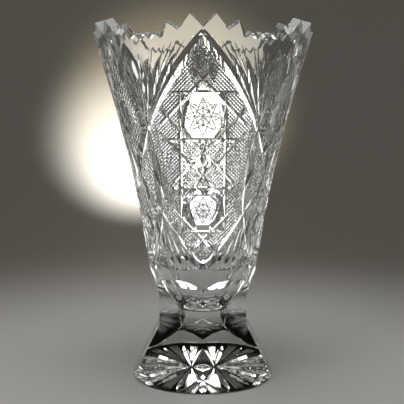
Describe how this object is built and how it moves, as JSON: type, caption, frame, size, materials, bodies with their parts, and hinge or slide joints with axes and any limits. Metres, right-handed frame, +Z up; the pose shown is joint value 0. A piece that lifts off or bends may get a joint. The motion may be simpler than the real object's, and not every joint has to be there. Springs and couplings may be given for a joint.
{
  "type": "cut crystal vase",
  "caption": "Tall flared cut crystal vase with a sawtooth scalloped rim, broad pointed panels, a six-sided waist and a star-cut flared foot.",
  "frame": {"origin": "centre of the foot's base, on the surface the vase stands on", "axes": "+Z up along the vase's axis; -Y is the front, square on to a broad panel; +X to the right seen from the front"},
  "size_m": [0.1846, 0.192, 0.305],
  "materials": {
    "bowl_crystal": "clear colourless lead crystal, wheel cut and polished",
    "stem_crystal": "clear colourless lead crystal, flat cut and polished",
    "foot_crystal": "clear colourless lead crystal, flat cut and polished"
  },
  "bodies": {
    "root": {"bowl": "bowl_crystal", "stem": "stem_crystal", "foot": "foot_crystal"}
  },
  "joints": []
}
